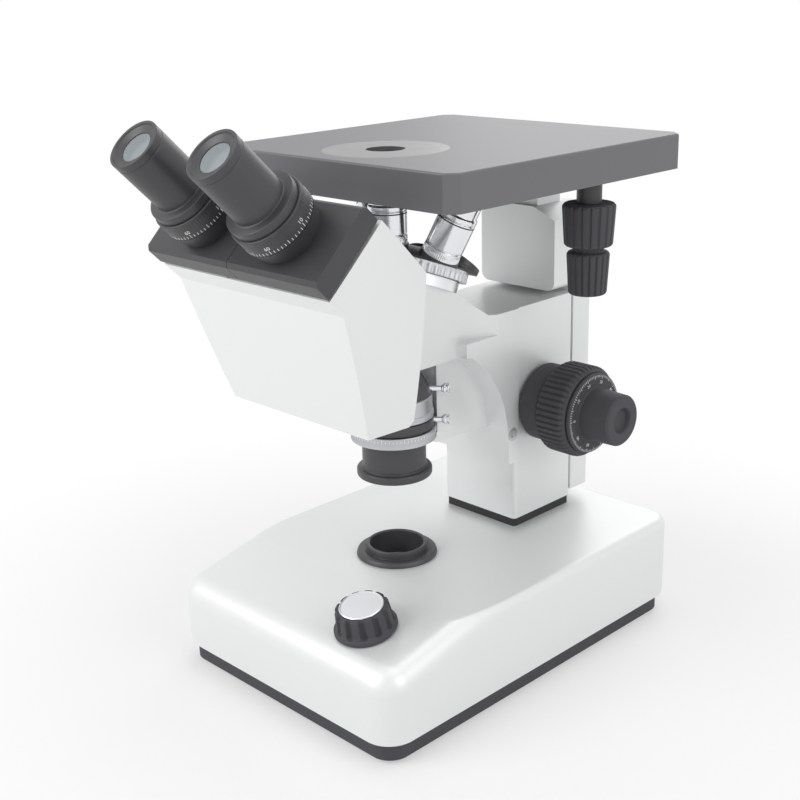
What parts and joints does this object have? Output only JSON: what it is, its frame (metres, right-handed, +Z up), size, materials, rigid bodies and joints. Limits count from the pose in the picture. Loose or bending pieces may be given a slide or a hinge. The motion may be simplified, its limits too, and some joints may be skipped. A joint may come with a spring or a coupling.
{
  "type": "inverted microscope",
  "caption": "Inverted reflected-light microscope with a binocular head, tilted nosepiece, moving stage and coaxial focus knobs.",
  "frame": {"origin": "centre of the base plate's underside; the rubber feet reach 2.4 mm below it", "axes": "+Z up, -Y towards the user and the eyepieces, +X to the user's right"},
  "size_m": [0.18, 0.3012, 0.3212],
  "materials": {
    "white_enamel": "satin",
    "stage_enamel": "semi-matt",
    "black_enamel": "satin",
    "black_plastic": "matt",
    "grey_enamel": "satin",
    "knurled_steel": "knurled",
    "polished_chrome": "polished",
    "spun_aluminium": "spun",
    "bright_steel": "ground",
    "gear_brass": "machined",
    "black_rubber": "matt",
    "coated_glass": "coated",
    "board_green": "gloss",
    "lamp_ceramic": "gloss"
  },
  "bodies": {
    "stand": {"base_casing": "white_enamel", "base_plate": "black_plastic", "rubber_feet": "black_rubber", "base_screws": "bright_steel", "collector_ring": "black_plastic", "collector_lens": "coated_glass", "lamp": "lamp_ceramic", "power_board": "board_green", "power_inlet": "black_plastic", "switch_frame": "black_plastic", "brightness_control": "black_plastic", "pillar": "white_enamel", "pillar_gasket": "black_rubber", "arm_casting": "white_enamel", "arm_screws": "bright_steel", "illuminator_tube": "black_enamel", "illuminator_lens": "coated_glass", "nosepiece_base": "spun_aluminium", "relay_prisms": "coated_glass", "head_housing": "white_enamel", "slide_guide": "spun_aluminium", "focus_collars": "black_plastic", "guide_rails": "bright_steel"},
    "switch_rocker": {"power_switch": "black_plastic"},
    "brightness": {"brightness_knob": "black_plastic", "brightness_cap": "spun_aluminium"},
    "aperture": {"aperture_ring": "grey_enamel"},
    "field": {"field_ring": "grey_enamel"},
    "aperture_centring_right": {"aperture_screw_right": "polished_chrome"},
    "aperture_centring_left": {"aperture_screw_left": "polished_chrome"},
    "field_centring_right": {"field_screw_right": "polished_chrome"},
    "field_centring_left": {"field_screw_left": "polished_chrome"},
    "turret": {"turret_dome": "black_enamel", "turret_ring": "knurled_steel", "objective_low": "polished_chrome", "objective_mid": "polished_chrome", "objective_high": "polished_chrome", "turret_plugs": "black_enamel"},
    "left_slide": {"left_slide_plate": "black_enamel", "left_prism": "coated_glass"},
    "right_slide": {"right_slide_plate": "black_enamel", "right_prism": "coated_glass"},
    "pinion": {"spacing_pinion": "gear_brass"},
    "left_ring": {"left_focus_ring": "black_enamel"},
    "right_ring": {"right_focus_ring": "black_enamel"},
    "left_eye": {"left_eyepiece": "black_enamel", "left_eye_lenses": "coated_glass"},
    "right_eye": {"right_eyepiece": "black_enamel", "right_eye_lenses": "coated_glass"},
    "lift": {"focus_slide": "white_enamel", "focus_rack": "bright_steel", "stage_base_plate": "spun_aluminium"},
    "coarse": {"coarse_drive": "bright_steel", "coarse_knobs": "black_plastic"},
    "fine": {"fine_knobs": "black_plastic"},
    "carriage": {"cross_carriage": "spun_aluminium"},
    "table": {"stage_top": "stage_enamel", "stage_insert": "stage_enamel"},
    "cross_drive": {"cross_knob": "black_plastic"},
    "long_drive": {"long_knob": "black_plastic"}
  },
  "joints": [
    {"name": "power_switch_rocks", "type": "hinge", "parent": "stand", "child": "switch_rocker", "pos_m": [0.014, 0.121, 0.034], "axis": [1, 0, 0], "range_deg": [0, 16]},
    {"name": "brightness_turns", "type": "hinge", "parent": "stand", "child": "brightness", "pos_m": [0.046, -0.0974, 0.05538], "axis": [0, 0.2079, -0.9781], "range_deg": [0, 270]},
    {"name": "aperture_ring_turns", "type": "hinge", "parent": "stand", "child": "aperture", "pos_m": [0, -0.0292, 0.152], "axis": [0, 0, 1], "range_deg": [-45, 45]},
    {"name": "field_ring_turns", "type": "hinge", "parent": "stand", "child": "field", "pos_m": [0, -0.0292, 0.136], "axis": [0, 0, 1], "range_deg": [-45, 45]},
    {"name": "aperture_right_screw_turns", "type": "hinge", "parent": "stand", "child": "aperture_centring_right", "pos_m": [0, -0.0292, 0.161], "axis": [0.7071, 0.7071, 0], "range_deg": [-360, 360]},
    {"name": "aperture_left_screw_turns", "type": "hinge", "parent": "stand", "child": "aperture_centring_left", "pos_m": [0, -0.0292, 0.161], "axis": [-0.7071, 0.7071, 0], "range_deg": [-360, 360]},
    {"name": "field_right_screw_turns", "type": "hinge", "parent": "stand", "child": "field_centring_right", "pos_m": [0, -0.0292, 0.1426], "axis": [0.7071, 0.7071, 0], "range_deg": [-360, 360]},
    {"name": "field_left_screw_turns", "type": "hinge", "parent": "stand", "child": "field_centring_left", "pos_m": [0, -0.0292, 0.1426], "axis": [-0.7071, 0.7071, 0], "range_deg": [-360, 360]},
    {"name": "turret_turns", "type": "hinge", "parent": "stand", "child": "turret", "pos_m": [0, -0.01047, 0.22446], "axis": [0, 0.3746, 0.9272], "continuous": true},
    {"name": "left_plate_slides", "type": "slide", "parent": "stand", "child": "left_slide", "axis": [-1, 0, 0], "range_m": [0, 0.007]},
    {"name": "right_plate_slides", "type": "slide", "parent": "stand", "child": "right_slide", "axis": [1, 0, 0], "range_m": [0, 0.007]},
    {"name": "spacing_pinion_turns", "type": "hinge", "parent": "stand", "child": "pinion", "pos_m": [0, -0.11285, 0.2575], "axis": [0, -0.7071, 0.7071], "range_deg": [0, 80.71]},
    {"name": "left_ring_turns", "type": "hinge", "parent": "left_slide", "child": "left_ring", "pos_m": [-0.0305, -0.12904, 0.27369], "axis": [0, -0.7071, 0.7071], "range_deg": [0, 180.5]},
    {"name": "right_ring_turns", "type": "hinge", "parent": "right_slide", "child": "right_ring", "pos_m": [0.0305, -0.12904, 0.27369], "axis": [0, -0.7071, 0.7071], "range_deg": [0, 180.5]},
    {"name": "left_eyepiece_lifts", "type": "slide", "parent": "left_slide", "child": "left_eye", "axis": [0, -0.7071, 0.7071], "range_m": [0, 0.005]},
    {"name": "right_eyepiece_lifts", "type": "slide", "parent": "right_slide", "child": "right_eye", "axis": [0, -0.7071, 0.7071], "range_m": [0, 0.005]},
    {"name": "focus_lifts", "type": "slide", "parent": "stand", "child": "lift", "axis": [0, 0, 1], "range_m": [-0.0025, 0.0055]},
    {"name": "coarse_knobs_turn", "type": "hinge", "parent": "stand", "child": "coarse", "pos_m": [0, 0.0668, 0.1369], "axis": [1, 0, 0], "range_deg": [-18.1, 39.59]},
    {"name": "fine_knobs_turn", "type": "hinge", "parent": "stand", "child": "fine", "pos_m": [0, 0.0668, 0.1369], "axis": [1, 0, 0], "continuous": true},
    {"name": "stage_moves_across", "type": "slide", "parent": "lift", "child": "carriage", "axis": [1, 0, 0], "range_m": [-0.0055, 0.0055]},
    {"name": "stage_moves_along", "type": "slide", "parent": "carriage", "child": "table", "axis": [0, 1, 0], "range_m": [-0.0075, 0.0075]},
    {"name": "cross_knob_turns", "type": "hinge", "parent": "carriage", "child": "cross_drive", "pos_m": [0.0753, 0.0482, 0.2396], "axis": [0, 0, 1], "range_deg": [-79.28, 79.28]},
    {"name": "long_knob_turns", "type": "hinge", "parent": "carriage", "child": "long_drive", "pos_m": [0.0753, 0.0482, 0.2396], "axis": [0, 0, 1], "range_deg": [-107.93, 107.93]}
  ],
  "couplings": [
    {"joint": "right_plate_slides", "follows": "left_plate_slides", "ratio": 1},
    {"joint": "spacing_pinion_turns", "follows": "left_plate_slides", "rad_per_m": 200},
    {"joint": "left_ring_turns", "follows": "left_eyepiece_lifts", "rad_per_m": 628.32},
    {"joint": "right_ring_turns", "follows": "right_eyepiece_lifts", "rad_per_m": 628.32},
    {"joint": "coarse_knobs_turn", "follows": "focus_lifts", "rad_per_m": 125},
    {"joint": "cross_knob_turns", "follows": "stage_moves_across", "rad_per_m": -250},
    {"joint": "long_knob_turns", "follows": "stage_moves_along", "rad_per_m": 250}
  ]
}
